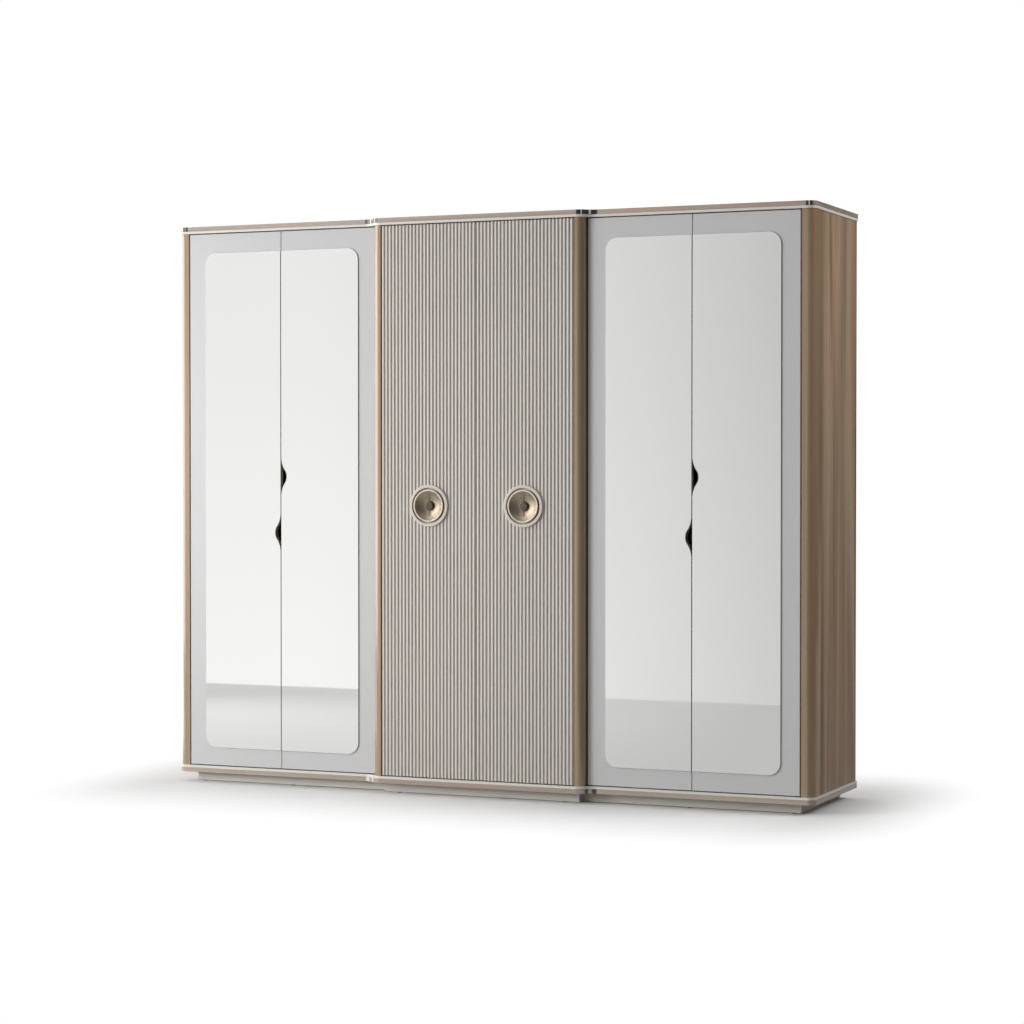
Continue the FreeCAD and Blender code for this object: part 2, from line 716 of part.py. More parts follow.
def roundHandle(door):
    # Lacquered ring, metal dish with a raised rim, and a low knob; levels count from the rib tops.
    side = 1 if door.hinge > 0 else -1
    x = f"{side} * handleX"
    ringFront = f"{centreY} - ringProud"
    rimFront = f"{centreY} - handleProud"
    seat = centreCore
    ring = [("ringInner", seat), ("ringOuter", seat), ("ringOuter", f"{ringFront} + ringChamfer"),
            ("ringOuter - ringChamfer", ringFront), ("ringInner + ringEase", ringFront),
            ("ringInner", f"{ringFront} + ringEase")]
    nodes.append(turned(f"ring_{door.name}", ring, x, "handleHeight"))
    bottom = f"{rimFront} + bowlDepth"
    shoulder = "rimInner * bowlShoulder"
    dish = [("0", bottom), ("knobRadius", bottom), (shoulder, f"{bottom} - bowlDepth * bowlRise"),
            ("rimInner", f"{rimFront} + rimLip"), ("rimInner + rimLip", rimFront),
            ("rimOuter - rimEase", rimFront), ("rimOuter", f"{rimFront} + rimEase"), ("rimOuter", seat),
            ("rimInner", seat), (shoulder, f"{bottom} + bowlWall"), ("0", f"{bottom} + bowlWall")]
    nodes.append(turned(f"dish_{door.name}", dish, x, "handleHeight"))
    top = f"{rimFront} + knobDrop"
    knob = [("0", top), ("knobRadius - knobBevel", top), ("knobRadius", f"{top} + knobChamfer"),
            ("knobRadius - knobChamfer", f"{top} + knobThick"), ("knobRadius / 2", bottom), ("0", bottom)]
    nodes.append(turned(f"knob_{door.name}", knob, x, "handleHeight"))
    cuts = [
        cylinder(f"seat_{door.name}", (x, seat, "handleHeight"), "ringOuter", "ribHeight + overrun", "-y"),
        cylinder(f"recess_{door.name}", (x, f"{bottom} + bowlWall", "handleHeight"), "rimInner",
                 "bowlDepth", "-y"),
    ]
    return cuts


def reededDoor(door):
    cuts = roundHandle(door) + hingeCups(door)
    nodes.append(cut(f"leaf_{door.name}", reededLeaf(door), joined(f"cuts_{door.name}", cuts)))


def doors():
    inner = f"({centreOuter} + reveal)"
    outer = f"({inner} + {sideLeafWidth} + seam)"
    overlay = "reveal - boardThick"
    hung = [Door(name, sided(side, start, sideLeafWidth), sideLeafWidth, frontY, "leafThick", hinge, offset)
            for name, side, start, hinge, offset in (
                ("left_outer", -1, outer, -1, "reveal"),
                ("left_inner", -1, inner, 1, overlay),
                ("right_inner", 1, inner, -1, overlay),
                ("right_outer", 1, outer, 1, "reveal"),
            )]
    # In each mirrored pair the left leaf has the low pull and the right leaf the high one.
    for door, pullSide in zip(hung, (-1, 1, -1, 1)):
        mirroredDoor(door, pullSide)
    thickness = "(coreThick + ribHeight)"
    centre = [
        Door("centre_left", sided(-1, "seam / 2", centreLeafWidth), centreLeafWidth, centreY, thickness, -1,
             "reveal"),
        Door("centre_right", sided(1, "seam / 2", centreLeafWidth), centreLeafWidth, centreY, thickness, 1,
             "reveal"),
    ]
    for door in centre:
        reededDoor(door)
    hingeArms(hung + centre)


doors()
doc.recompute()


# Every piece is checked, then written.

for item in doc.Objects:
    if "Invalid" in item.State or "Error" in item.State:
        raise RuntimeError(f"{item.Label} failed: {item.State}")
labels = [node.Label for node in nodes]
if len(set(labels)) != len(labels):
    raise RuntimeError("two sub-parts share a name")
for node in nodes:
    if node.Shape.isNull() or not node.Shape.isValid():
        raise RuntimeError(f"{node.Label} has no valid shape")
os.makedirs("parts", exist_ok=True)
for node in nodes:
    node.Shape.exportStep(f"parts/{node.Label}.step")
    print(node.Label, len(node.Shape.Solids), round(node.Shape.Volume / 1000), "cm3")
print(len(nodes), "sub-parts")
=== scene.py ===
import json
import math

import bmesh
import bpy
from mathutils import Matrix, Vector

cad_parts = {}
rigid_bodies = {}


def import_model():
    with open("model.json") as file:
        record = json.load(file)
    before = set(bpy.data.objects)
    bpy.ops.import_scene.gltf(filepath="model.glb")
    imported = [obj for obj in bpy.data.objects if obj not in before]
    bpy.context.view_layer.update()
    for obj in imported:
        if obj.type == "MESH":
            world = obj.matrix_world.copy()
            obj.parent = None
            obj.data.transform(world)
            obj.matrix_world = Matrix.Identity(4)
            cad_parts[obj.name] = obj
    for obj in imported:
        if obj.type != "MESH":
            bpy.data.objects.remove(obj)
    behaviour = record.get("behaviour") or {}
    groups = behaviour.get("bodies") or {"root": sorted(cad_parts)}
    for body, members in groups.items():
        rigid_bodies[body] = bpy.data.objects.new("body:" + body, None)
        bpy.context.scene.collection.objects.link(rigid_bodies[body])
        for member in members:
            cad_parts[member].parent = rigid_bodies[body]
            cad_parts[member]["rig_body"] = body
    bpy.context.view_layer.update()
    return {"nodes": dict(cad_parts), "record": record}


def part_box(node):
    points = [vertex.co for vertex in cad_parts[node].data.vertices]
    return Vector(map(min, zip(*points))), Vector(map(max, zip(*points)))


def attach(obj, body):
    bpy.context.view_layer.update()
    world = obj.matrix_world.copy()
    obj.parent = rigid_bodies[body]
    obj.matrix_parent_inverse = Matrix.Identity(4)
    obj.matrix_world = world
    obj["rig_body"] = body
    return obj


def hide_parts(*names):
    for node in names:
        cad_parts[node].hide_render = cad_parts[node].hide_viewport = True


# Six-door armoire. Lengths in metres; +Z is up, the doors face -Y, the origin is on the floor.

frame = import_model()
slotOf = {row["node"]: row["material_slot"] for row in frame["record"]["subparts"]}
mm = 0.001
print("frame loaded:", len(frame["nodes"]), "nodes")


# Shader groups that several finishes share.

def addNode(tree, kind, inputs=None, **settings):
    # A node with its settings and inputs; an input is a value or another node's output.
    made = tree.nodes.new(kind)
    for key, value in settings.items():
        setattr(made, key, value)
    for key, value in (inputs or {}).items():
        if isinstance(value, bpy.types.NodeSocket):
            tree.links.new(value, made.inputs[key])
        else:
            made.inputs[key].default_value = value
    return made


def mixColor(tree, factor, first, second, mode="MIX"):
    made = addNode(tree, "ShaderNodeMix", {0: factor, 6: first, 7: second}, data_type="RGBA", blend_type=mode)
    return made.outputs[2]


def sums(tree, operation, first, second, clamp=False):
    made = addNode(tree, "ShaderNodeMath", {0: first, 1: second}, operation=operation, use_clamp=clamp)
    return made.outputs[0]


def remap(tree, value, low, high, newLow, newHigh, smooth=True):
    made = addNode(tree, "ShaderNodeMapRange", {"Value": value, "From Min": low, "From Max": high,
                                                "To Min": newLow, "To Max": newHigh})
    made.interpolation_type = "SMOOTHSTEP" if smooth else "LINEAR"
    return made.outputs["Result"]


def stretched(tree, vector, scale):
    return addNode(tree, "ShaderNodeMapping", {"Vector": vector, "Scale": scale}).outputs["Vector"]


def lengthOf(tree, vector):
    return addNode(tree, "ShaderNodeVectorMath", {0: vector}, operation="LENGTH").outputs["Value"]


def noise(tree, vector, scale=1.0, detail=2.0, roughness=0.5, distortion=0.0):
    made = addNode(tree, "ShaderNodeTexNoise", {"Vector": vector, "Scale": scale, "Detail": detail,
                                                "Roughness": roughness, "Distortion": distortion})
    return made.outputs["Fac"]


def shaderGroup(name, inputs, outputs):
    tree = bpy.data.node_groups.new(name, "ShaderNodeTree")
    kinds = {"v": "NodeSocketVector", "c": "NodeSocketColor", "f": "NodeSocketFloat"}
    for label, kind in inputs.items():
        tree.interface.new_socket(name=label, in_out="INPUT", socket_type=kinds[kind])
    for label, kind in outputs.items():
        tree.interface.new_socket(name=label, in_out="OUTPUT", socket_type=kinds[kind])
    return tree, tree.nodes.new("NodeGroupInput").outputs, tree.nodes.new("NodeGroupOutput")


grain = {
    "bands": (21.0, 21.0, 0.4), "fibres": (60.0, 60.0, 1.0), "bandShare": 0.7, "fibreShare": 0.3,
    "arches": (3.4, 3.4, 0.3), "archLines": 11.0, "archDepth": 0.22, "lift": 0.1, "toneRange": (0.3, 0.66),
    "ruddy": (24.0, 24.0, 0.4), "ruddyRange": (0.48, 0.62), "ruddyMost": 0.8,
    "streaks": (46.0, 46.0, 0.5), "streakRange": (0.57, 0.68), "streakMost": 0.75,
    "streakTone": (0.6, 0.53, 0.46, 1.0),
    "pores": (420.0, 420.0, 9.0), "poreRange": (0.55, 0.72), "poreMost": 0.35,
    "poreTone": (0.55, 0.5, 0.45, 1.0),
    "roughness": 0.3, "poreRoughness": 0.25,
}


def darkened(tree, amount, color, tone):
    return mixColor(tree, amount, color, mixColor(tree, 1.0, color, tone, "MULTIPLY"))


def veneerGrain():
    # Long grain along Z: tone bands, nested arches, ruddy bands, dark streaks and fine pores.
    tree, given, result = shaderGroup(
        "veneerGrain", {"Vector": "v", "Light": "c", "Dark": "c", "Warm": "c", "Figure": "f"},
        {"Color": "c", "Roughness": "f", "Height": "f"})
    link = tree.links.new
    vector = given["Vector"]
    bands = noise(tree, stretched(tree, vector, grain["bands"]), detail=2.0, roughness=0.55, distortion=0.3)
    field = noise(tree, stretched(tree, vector, grain["arches"]), detail=1.5, roughness=0.4, distortion=0.3)
    arches = sums(tree, "PINGPONG", sums(tree, "MULTIPLY", field, grain["archLines"]), 1.0)
    fibres = noise(tree, stretched(tree, vector, grain["fibres"]), detail=3.0, roughness=0.6)
    pores = noise(tree, stretched(tree, vector, grain["pores"]), detail=2.0, roughness=0.6)
    figured = sums(tree, "MULTIPLY", arches, given["Figure"])
    tone = sums(tree, "ADD", sums(tree, "MULTIPLY", bands, grain["bandShare"]),
                sums(tree, "MULTIPLY", fibres, grain["fibreShare"]))
    tone = sums(tree, "SUBTRACT", sums(tree, "ADD", tone, grain["lift"]),
                sums(tree, "MULTIPLY", figured, grain["archDepth"]))
    tone = remap(tree, tone, *grain["toneRange"], 0.0, 1.0, False)
    color = mixColor(tree, tone, given["Dark"], given["Light"])
    ruddy = noise(tree, stretched(tree, vector, grain["ruddy"]), detail=1.0)
    ruddy = remap(tree, ruddy, *grain["ruddyRange"], 0.0, grain["ruddyMost"])
    color = darkened(tree, ruddy, color, given["Warm"])
    streak = noise(tree, stretched(tree, vector, grain["streaks"]), detail=1.0, distortion=0.2)
    streak = remap(tree, streak, *grain["streakRange"], 0.0, grain["streakMost"])
    color = darkened(tree, sums(tree, "MULTIPLY", streak, given["Figure"]), color, grain["streakTone"])
    line = remap(tree, pores, *grain["poreRange"], 0.0, grain["poreMost"])
    color = darkened(tree, line, color, grain["poreTone"])
    link(color, result.inputs["Color"])
    link(sums(tree, "ADD", sums(tree, "MULTIPLY", line, grain["poreRoughness"]), grain["roughness"]),
         result.inputs["Roughness"])
    link(sums(tree, "SUBTRACT", fibres, line), result.inputs["Height"])
    return tree


skin = {"cloud": 2.4, "cloudRange": (0.35, 0.65), "cloudMost": 0.35, "peel": 320.0, "patch": 9.0,
        "patchSpread": 0.16}


def lacquerSkin():
    # Sprayed lacquer: faint cloudiness, orange peel, and hand-polished patches.
    tree, given, result = shaderGroup(
        "lacquerSkin", {"Vector": "v", "Color": "c", "Shade": "c", "Gloss": "f"},
        {"Color": "c", "Roughness": "f", "Height": "f"})
    link = tree.links.new
    cloud = noise(tree, given["Vector"], skin["cloud"], detail=3.0)
    peel = noise(tree, given["Vector"], skin["peel"], detail=2.0)
    patch = noise(tree, given["Vector"], skin["patch"], detail=4.0, roughness=0.6)
    cloudy = remap(tree, cloud, *skin["cloudRange"], 0.0, skin["cloudMost"])
    link(mixColor(tree, cloudy, given["Color"], given["Shade"]), result.inputs["Color"])
    spread = sums(tree, "MULTIPLY", sums(tree, "SUBTRACT", patch, 0.5), skin["patchSpread"])
    link(sums(tree, "ADD", given["Gloss"], spread), result.inputs["Roughness"])
    link(peel, result.inputs["Height"])
    return tree


dustFilm = {"upRange": (0.55, 0.95), "patch": 14.0, "patchRange": (0.3, 0.7), "thinnest": 0.35,
            "roughness": 0.5, "color": (0.62, 0.6, 0.57, 1.0)}


def restingDust():
    # A thin grey film on faces that look up.
    tree, given, result = shaderGroup(
        "restingDust", {"Vector": "v", "Color": "c", "Roughness": "f", "Amount": "f"},
        {"Color": "c", "Roughness": "f"})
    link = tree.links.new
    normal = addNode(tree, "ShaderNodeNewGeometry").outputs["Normal"]
    up = addNode(tree, "ShaderNodeSeparateXYZ", {0: normal}).outputs["Z"]
    film = remap(tree, up, *dustFilm["upRange"], 0.0, 1.0)
    patchy = noise(tree, given["Vector"], dustFilm["patch"], detail=4.0, roughness=0.65)
    patchy = remap(tree, patchy, *dustFilm["patchRange"], dustFilm["thinnest"], 1.0)
    mask = sums(tree, "MULTIPLY", sums(tree, "MULTIPLY", film, patchy), given["Amount"])
    link(mixColor(tree, mask, given["Color"], dustFilm["color"]), result.inputs["Color"])
    rougher = sums(tree, "MULTIPLY", mask, dustFilm["roughness"])
    link(sums(tree, "ADD", given["Roughness"], rougher, True), result.inputs["Roughness"])
    return tree


turning = {"ringsPerMetre": 1400.0, "ringSpread": 0.12, "spots": 90.0, "spotRange": (0.42, 0.7),
           "spotMost": 0.7, "spineRange": (0.002, 0.007), "spineReach": (0.028, 0.046)}


def turnedMetal():
    # Tool marks in circles round the Y axis, tarnished spots, and a painted dark reflection as an upright
    # streak down the middle.
    tree, given, result = shaderGroup(
        "turnedMetal", {"Vector": "v", "Color": "c", "Tarnish": "c", "Gloss": "f", "Spine": "f"},
        {"Color": "c", "Roughness": "f", "Height": "f"})
    link = tree.links.new
    flat = stretched(tree, given["Vector"], (1.0, 0.0, 1.0))
    radius = lengthOf(tree, flat)
    rings = addNode(tree, "ShaderNodeTexNoise",
                    {"W": sums(tree, "MULTIPLY", radius, turning["ringsPerMetre"]), "Detail": 3.0},
                    noise_dimensions="1D").outputs["Fac"]
    spots = noise(tree, given["Vector"], turning["spots"], detail=4.0, roughness=0.65)
    across = lengthOf(tree, stretched(tree, flat, (1.0, 0.0, 0.0)))
    # Painted dark reflection: an upright streak above and below the knob, mixed in with the tarnish.
    paintedStreakMask = sums(tree, "MULTIPLY", remap(tree, across, *turning["spineRange"], 1.0, 0.0),
                 remap(tree, radius, *turning["spineReach"], 1.0, 0.0))
    tarnishAndStreak = sums(tree, "ADD", remap(tree, spots, *turning["spotRange"], 0.0, turning["spotMost"]),
                sums(tree, "MULTIPLY", paintedStreakMask, given["Spine"]), True)
    link(mixColor(tree, tarnishAndStreak, given["Color"], given["Tarnish"]), result.inputs["Color"])
    spread = sums(tree, "MULTIPLY", sums(tree, "SUBTRACT", rings, 0.5), turning["ringSpread"])
    link(sums(tree, "ADD", given["Gloss"], spread), result.inputs["Roughness"])
    link(rings, result.inputs["Height"])
    return tree


grainGroup = veneerGrain()
skinGroup = lacquerSkin()
dustGroup = restingDust()
metalGroup = turnedMetal()


# Finishes, one for each material of the real piece.

def newFinish(name):
    material = bpy.data.materials.new(name)
    material.use_nodes = True
    tree = material.node_tree
    tree.nodes.clear()
    surface = addNode(tree, "ShaderNodeBsdfPrincipled")
    addNode(tree, "ShaderNodeOutputMaterial", {"Surface": surface.outputs[0]})
    place = addNode(tree, "ShaderNodeTexCoord").outputs["Object"]
    return material, tree, surface, place


def placeGroup(tree, group, inputs):
    made = tree.nodes.new("ShaderNodeGroup")
    made.node_tree = group
    for key, value in inputs.items():
        if isinstance(value, bpy.types.NodeSocket):
            tree.links.new(value, made.inputs[key])
        else:
            made.inputs[key].default_value = value
    return made.outputs


def setShader(surface, values):
    for key, value in values.items():
        surface.inputs[key].default_value = value


def finishFrom(material, tree, surface, place, made, dust, bump, distance):
    # Joins a group's colour, roughness and height to the shader, with dust over the top.
    dusted = placeGroup(tree, dustGroup, {"Vector": place, "Color": made["Color"],
                                          "Roughness": made["Roughness"], "Amount": dust})
    tree.links.new(dusted["Color"], surface.inputs["Base Color"])
    tree.links.new(dusted["Roughness"], surface.inputs["Roughness"])
    relief = addNode(tree, "ShaderNodeBump",
                     {"Strength": bump, "Distance": distance, "Height": made["Height"]})
    tree.links.new(relief.outputs["Normal"], surface.inputs["Normal"])
    return material


reliefs = {"wood": (0.12, 0.0006), "lacquer": (0.05, 0.0004), "metal": (0.03, 0.0001)}  # strength, depth
bodyIor = 1.5


def woodFinish(name, settings):
    material, tree, surface, place = newFinish(name)
    turned = addNode(tree, "ShaderNodeMapping", {"Vector": place, "Rotation": settings["turn"],
                                                 "Location": settings["shift"]}).outputs["Vector"]
    made = placeGroup(tree, grainGroup, {"Vector": turned, "Light": settings["light"],
                                         "Dark": settings["dark"], "Warm": settings["warm"],
                                         "Figure": settings["figure"]})
    setShader(surface, {"IOR": bodyIor, "Specular IOR Level": settings["specular"],
                        "Coat Weight": settings["coat"], "Coat Roughness": settings["coatRoughness"],
                        "Coat IOR": settings["coatIor"]})
    return finishFrom(material, tree, surface, place, made, settings["dust"], *reliefs["wood"])


def lacquerFinish(name, settings):
    material, tree, surface, place = newFinish(name)
    made = placeGroup(tree, skinGroup, {"Vector": place, "Color": settings["color"],
                                        "Shade": settings["shade"], "Gloss": settings["gloss"]})
    setShader(surface, {"IOR": bodyIor, "Coat Weight": settings["coat"],
                        "Coat Roughness": settings["coatRoughness"]})
    return finishFrom(material, tree, surface, place, made, settings["dust"], *reliefs["lacquer"])


def metalFinish(name, settings):
    material, tree, surface, place = newFinish(name)
    centred = addNode(tree, "ShaderNodeMapping",
                      {"Vector": place, "Location": settings["centre"]}).outputs["Vector"]
    made = placeGroup(tree, metalGroup, {"Vector": centred, "Color": settings["color"],
                                         "Tarnish": settings["tarnish"], "Gloss": settings["gloss"],
                                         "Spine": settings["spine"]})
    setShader(surface, {"Metallic": settings["metallic"]})
    return finishFrom(material, tree, surface, place, made, 0.0, *reliefs["metal"])


upright = (0.0, 0.0, 0.0)
lengthways = (0.0, math.pi / 2, 0.0)
walnut = {"light": (0.4, 0.292, 0.205, 1), "dark": (0.195, 0.132, 0.088, 1), "warm": (1.0, 0.8, 0.66, 1),
          "figure": 0.8, "turn": upright, "shift": (0, 0, 0), "specular": 0.12, "coat": 0.0,
          "coatRoughness": 0.2, "coatIor": 1.5, "dust": 0.0}
postWalnut = walnut | {"light": (0.35, 0.23, 0.13, 1), "dark": (0.23, 0.15, 0.075, 1), "figure": 0.4,
                       "specular": 0.5, "coat": 1.0, "coatRoughness": 0.1, "coatIor": 1.85}
bandWood = {"light": (0.42, 0.345, 0.28, 1), "dark": (0.27, 0.21, 0.165, 1), "warm": (1.0, 0.86, 0.76, 1),
            "figure": 0.3, "turn": lengthways, "shift": (0, 0, 0), "specular": 0.5, "coat": 1.0,
            "coatRoughness": 0.1, "coatIor": 1.9, "dust": 0.25}
insideBoard = {"light": (0.66, 0.6, 0.53, 1), "dark": (0.55, 0.49, 0.42, 1), "warm": (1.0, 0.95, 0.9, 1),
               "figure": 0.2, "turn": upright, "shift": (3, 1, 0), "specular": 0.4, "coat": 0.0,
               "coatRoughness": 0.4, "coatIor": 1.5, "dust": 0.1}
doorGrey = {"color": (0.6, 0.595, 0.597, 1), "shade": (0.58, 0.575, 0.572, 1), "gloss": 0.36, "coat": 0.35,
            "coatRoughness": 0.2, "dust": 0.1}
cream = {"color": (0.74, 0.71, 0.67, 1), "shade": (0.71, 0.675, 0.63, 1), "gloss": 0.34, "coat": 0.3,
         "coatRoughness": 0.2, "dust": 0.1}
greige = {"color": (0.62, 0.58, 0.543, 1), "shade": (0.595, 0.555, 0.518, 1), "gloss": 0.5, "coat": 0.05,
          "coatRoughness": 0.3, "dust": 0.1}
plinthPaint = {"color": (0.64, 0.61, 0.57, 1), "shade": (0.59, 0.56, 0.52, 1), "gloss": 0.45, "coat": 0.1,
               "coatRoughness": 0.3, "dust": 0.0}
# The spine value sets how strong the painted dark reflection streak is.
bronze = {"color": (0.38, 0.31, 0.235, 1), "tarnish": (0.17, 0.13, 0.095, 1),
          "gloss": 0.36, "centre": (0, 0, 0), "spine": 0.9, "metallic": 1.0}
darkBronze = {"color": (0.26, 0.205, 0.155, 1), "tarnish": (0.18, 0.14, 0.105, 1),
              "gloss": 0.34, "centre": (0, 0, 0), "spine": 0.0, "metallic": 0.4}
steel = {"color": (0.66, 0.66, 0.67, 1), "tarnish": (0.5, 0.5, 0.5, 1),
         "gloss": 0.3, "centre": (0, 0, 0), "spine": 0.0, "metallic": 1.0}
chrome = {"color": (0.82, 0.82, 0.83, 1), "tarnish": (0.7, 0.7, 0.7, 1),
          "gloss": 0.14, "centre": (0, 0, 0), "spine": 0.0, "metallic": 1.0}
ringCream = {"color": (0.66, 0.61, 0.55, 1), "shade": (0.62, 0.57, 0.51, 1), "gloss": 0.32, "coat": 0.4,
             "coatRoughness": 0.15, "dust": 0.1}
# Darker greige for the groove floors and rib flanks: painted shade between the ribs.
grooveShadeTone = {"color": (0.58, 0.535, 0.49, 1), "shade": (0.55, 0.505, 0.46, 1), "gloss": 0.5, "coat": 0.0,
              "coatRoughness": 0.3, "dust": 0.0}
# Near-black gloss for the painted dark reflections on the curved parts of the wood bands.
bandReflectionBlack = {"color": (0.03, 0.026, 0.024, 1), "shade": (0.045, 0.038, 0.034, 1), "gloss": 0.2, "coat": 0.8,
              "coatRoughness": 0.08, "dust": 0.1}
felt = {"color": (0.03, 0.03, 0.03, 1), "shade": (0.05, 0.05, 0.05, 1), "gloss": 0.85, "coat": 0.0,
        "coatRoughness": 0.5, "dust": 0.0}
handleX = sum(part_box("dish_centre_right")[end].x for end in (0, 1)) / 2
handleZ = sum(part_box("dish_centre_right")[end].z for end in (0, 1)) / 2

finishes = {
    "wood_veneer": woodFinish("smokedWalnut", walnut),
    "edge_wood": woodFinish("bandWalnut", bandWood),
    "interior_board": woodFinish("insideBoard", insideBoard),
    "back_board": woodFinish("backBoard", insideBoard | {"light": (0.6, 0.55, 0.49, 1)}),
    "door_lacquer": lacquerFinish("doorGrey", doorGrey),
    "pale_lacquer": lacquerFinish("creamBand", cream),
    "reeded_lacquer": lacquerFinish("reededGreige", greige),
    "plinth_lacquer": lacquerFinish("plinthPaint", plinthPaint),
    "felt_black": lacquerFinish("glideFelt", felt),
    "fitting_steel": metalFinish("fittingSteel", steel),
    "rail_chrome": metalFinish("railChrome", chrome),
    "dark_bronze": metalFinish("darkBronze", darkBronze),
}
ringLacquer = lacquerFinish("ringCream", ringCream)
grooveShadeLacquer = lacquerFinish("grooveGreige", grooveShadeTone)
inlayGloss = lacquerFinish("inlayGloss", bandReflectionBlack)
postWood = woodFinish("postWalnut", postWalnut)
shelfBoard = woodFinish("shelfBoard", insideBoard | {"turn": lengthways})
# A paler copy of the bronze for the rim's flat front: painted highlight.
rimHighlightTone = bronze | {"color": (0.78, 0.69, 0.56, 1), "tarnish": (0.6, 0.5, 0.38, 1), "gloss": 0.3,
                         "spine": 0.0}
deepBronze = darkBronze | {"color": (0.14, 0.11, 0.085, 1), "gloss": 0.26, "metallic": 1.0}


def pairOfHandles(name, settings):
    # The same metal for the left and the right handle, each centred on its own axis.
    return {side: metalFinish(f"{name}{word}", settings | {"centre": (-side * handleX, 0, -handleZ)})
            for word, side in (("Left", -1), ("Right", 1))}


handleBronze = pairOfHandles("handleBronze", bronze)
rimBronze = pairOfHandles("rimBronze", rimHighlightTone)
knobBronze = pairOfHandles("knobBronze", deepBronze)


mirrorGlass = {"clean": (0.935, 0.94, 0.92, 1), "smeared": (0.92, 0.93, 0.905, 1), "smears": (3.0, 3.0, 1.2),
               "smearRange": (0.4, 0.75), "roughness": (0.012, 0.035)}
glassRim = {"light": (0.42, 0.45, 0.44, 1), "deep": (0.3, 0.34, 0.33, 1), "cloud": 40.0,
            "cloudRange": (0.3, 0.7), "roughness": (0.12, 0.25), "coat": 0.6, "coatRoughness": 0.08}


def mirrorFinish():
    material, tree, surface, place = newFinish("silveredGlass")
    smear = noise(tree, stretched(tree, place, mirrorGlass["smears"]), detail=4.0, roughness=0.6)
    tree.links.new(mixColor(tree, smear, mirrorGlass["clean"], mirrorGlass["smeared"]),
                   surface.inputs["Base Color"])
    tree.links.new(remap(tree, smear, *mirrorGlass["smearRange"], *mirrorGlass["roughness"]),
                   surface.inputs["Roughness"])
    setShader(surface, {"Metallic": 1.0})
    return material


def glassEdgeFinish():
    material, tree, surface, place = newFinish("glassEdge")
    depth = noise(tree, place, glassRim["cloud"], detail=2.0)
    tree.links.new(mixColor(tree, depth, glassRim["light"], glassRim["deep"]), surface.inputs["Base Color"])
    tree.links.new(remap(tree, depth, *glassRim["cloudRange"], *glassRim["roughness"]),
                   surface.inputs["Roughness"])
    setShader(surface, {"Coat Weight": glassRim["coat"], "Coat Roughness": glassRim["coatRoughness"]})
    return material


silvered = mirrorFinish()
glassEdge = glassEdgeFinish()
print("finishes made:", len(bpy.data.materials))


# Small tools for the meshes; angles in degrees.
fine = {"merge": 1e-6, "axisMerge": 1e-5, "parallel": 1e-4, "near": 0.3 * mm, "facing": 0.9, "flat": 0.999}
edgeWork = {"breakAngle": 50, "breakSegments": 2, "sharpAngle": 32}
turnery = {"steps": 96, "roundSegments": 4}


def everyPart(bm):
    return bm.verts[:] + bm.edges[:] + bm.faces[:]


def cutAt(bm, place, normal, **settings):
    bmesh.ops.bisect_plane(bm, geom=everyPart(bm), plane_co=place, plane_no=normal, **settings)


def movePushed(bm, pushed, vec):
    bmesh.ops.translate(bm, verts=[item for item in pushed if isinstance(item, bmesh.types.BMVert)], vec=vec)


def outlinePrism(points, run):
    # A flat outline pushed along one direction.
    bm = bmesh.new()
    face = bm.faces.new([bm.verts.new(point) for point in points])
    pushed = bmesh.ops.extrude_face_region(bm, geom=[face])["geom"]
    movePushed(bm, pushed, run)
    return bm


def blockBetween(low, high):
    bm = bmesh.new()
    place = Matrix.Translation((low + high) / 2) @ Matrix.Diagonal((*(high - low), 1))
    bmesh.ops.create_cube(bm, size=1, matrix=place)
    return bm


def along(bm, axis):
    # The edges that run along one axis.
    direction = Vector([axis == name for name in "xyz"])
    return [edge for edge in bm.edges
            if (edge.verts[1].co - edge.verts[0].co).normalized().cross(direction).length < fine["parallel"]]


def near(edge, **place):
    middle = (edge.verts[0].co + edge.verts[1].co) / 2
    return all(abs(getattr(middle, axis) - value) < fine["near"] for axis, value in place.items())


def roundEdges(bm, edges, offset, segments):
    bmesh.ops.bevel(bm, geom=edges, offset=offset, offset_type="OFFSET", segments=segments, profile=0.5,
                    affect="EDGES", material=-1, clamp_overlap=True)


def easeEdges(bm, offset):
    # Breaks every sharp edge.
    bmesh.ops.remove_doubles(bm, verts=bm.verts, dist=fine["merge"])
    bmesh.ops.recalc_face_normals(bm, faces=bm.faces)
    least = math.radians(edgeWork["breakAngle"])
    sharp = [edge for edge in bm.edges if len(edge.link_faces) == 2 and edge.calc_face_angle() > least]
    roundEdges(bm, sharp, offset, edgeWork["breakSegments"])


def pieceName(node):
    words = node.split("_")
    return words[0] + "".join(word.capitalize() for word in words[1:])


def smoothMesh(mesh):
    mesh.shade_smooth()
    mesh.set_sharp_from_angle(angle=math.radians(edgeWork["sharpAngle"]))


def finishPiece(bm, node, *materials):
    # Makes the mesh a piece in place of its CAD node.
    bmesh.ops.remove_doubles(bm, verts=bm.verts, dist=fine["merge"])
    bmesh.ops.recalc_face_normals(bm, faces=bm.faces)
    mesh = bpy.data.meshes.new(pieceName(node))
    bm.to_mesh(mesh)
    bm.free()
    smoothMesh(mesh)
    for material in materials or [finishes[slotOf[node]]]:
        mesh.materials.append(material)
    piece = bpy.data.objects.new(pieceName(node), mesh)
    bpy.context.scene.collection.objects.link(piece)
    flatter = piece.modifiers.new("flatFaces", "WEIGHTED_NORMAL")
    flatter.keep_sharp = True
    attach(piece, frame["nodes"][node]["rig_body"])
    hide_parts(node)
    return piece


# Carcass boards and posts.

boardEase = {"side_panel": 0.8 * mm, "centre_side": 0.6 * mm, "inner_side": 0.6 * mm, "hat_shelf": 1.2 * mm,
             "low_shelf": 1.2 * mm, "centre_shelf": 1.2 * mm, "plinth_end": 1.0 * mm, "plinth_back": 1.0 * mm}
for node in frame["nodes"]:
    kind = next((name for name in boardEase if node.startswith(name)), None)
    if kind:
        board = blockBetween(*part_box(node))
        easeEdges(board, boardEase[kind])
        finishPiece(board, node, *([shelfBoard] if "shelf" in kind else []))

